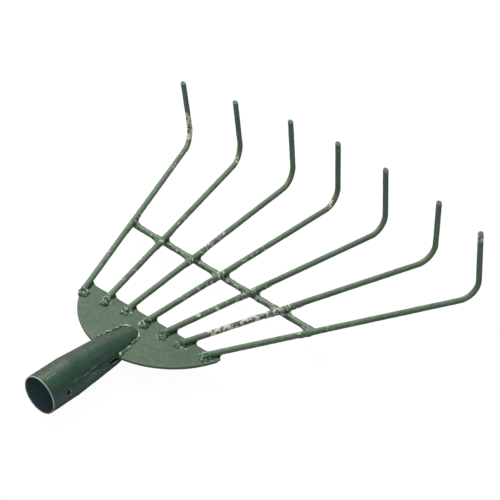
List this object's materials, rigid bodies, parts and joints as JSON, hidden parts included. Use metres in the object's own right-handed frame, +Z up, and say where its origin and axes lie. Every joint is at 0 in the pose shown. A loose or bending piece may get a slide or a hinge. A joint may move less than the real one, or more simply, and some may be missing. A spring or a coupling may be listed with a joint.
{
  "type": "bow rake head",
  "caption": "Fan-shaped garden rake head of welded steel rod: bent round tines on a half-moon plate with a crossbar and a tapered tube socket for a wooden handle.",
  "frame": {"origin": "centre of the round mouth of the socket tube", "axes": "+Y runs along the socket's axis from the mouth towards the tines, +Z is the side that the tine ends bend to, +X is to the right when looking along +Y with +Z up"},
  "size_m": [0.3957, 0.4135, 0.1043],
  "materials": {
    "socket_paint": "worn semi-matt dark green paint",
    "plate_paint": "worn semi-matt grey-green paint",
    "rod_paint": "scuffed semi-matt green paint with bare flecks",
    "weld_paint": "painted weld, lumpy and slightly glossy"
  },
  "bodies": {
    "root": {"socket": "socket_paint", "plate": "plate_paint", "tine_1": "rod_paint", "tine_2": "rod_paint", "tine_3": "rod_paint", "tine_4": "rod_paint", "tine_5": "rod_paint", "tine_6": "rod_paint", "tine_7": "rod_paint", "crossbar": "rod_paint", "end_weld_1": "weld_paint", "end_weld_2": "weld_paint", "end_weld_3": "weld_paint", "end_weld_4": "weld_paint", "end_weld_5": "weld_paint", "end_weld_6": "weld_paint", "end_weld_7": "weld_paint", "bar_weld_1": "weld_paint", "bar_weld_2": "weld_paint", "bar_weld_3": "weld_paint", "bar_weld_4": "weld_paint", "bar_weld_5": "weld_paint", "bar_weld_6": "weld_paint", "bar_weld_7": "weld_paint", "socket_bead_left": "weld_paint", "socket_bead_right": "weld_paint"}
  },
  "joints": []
}
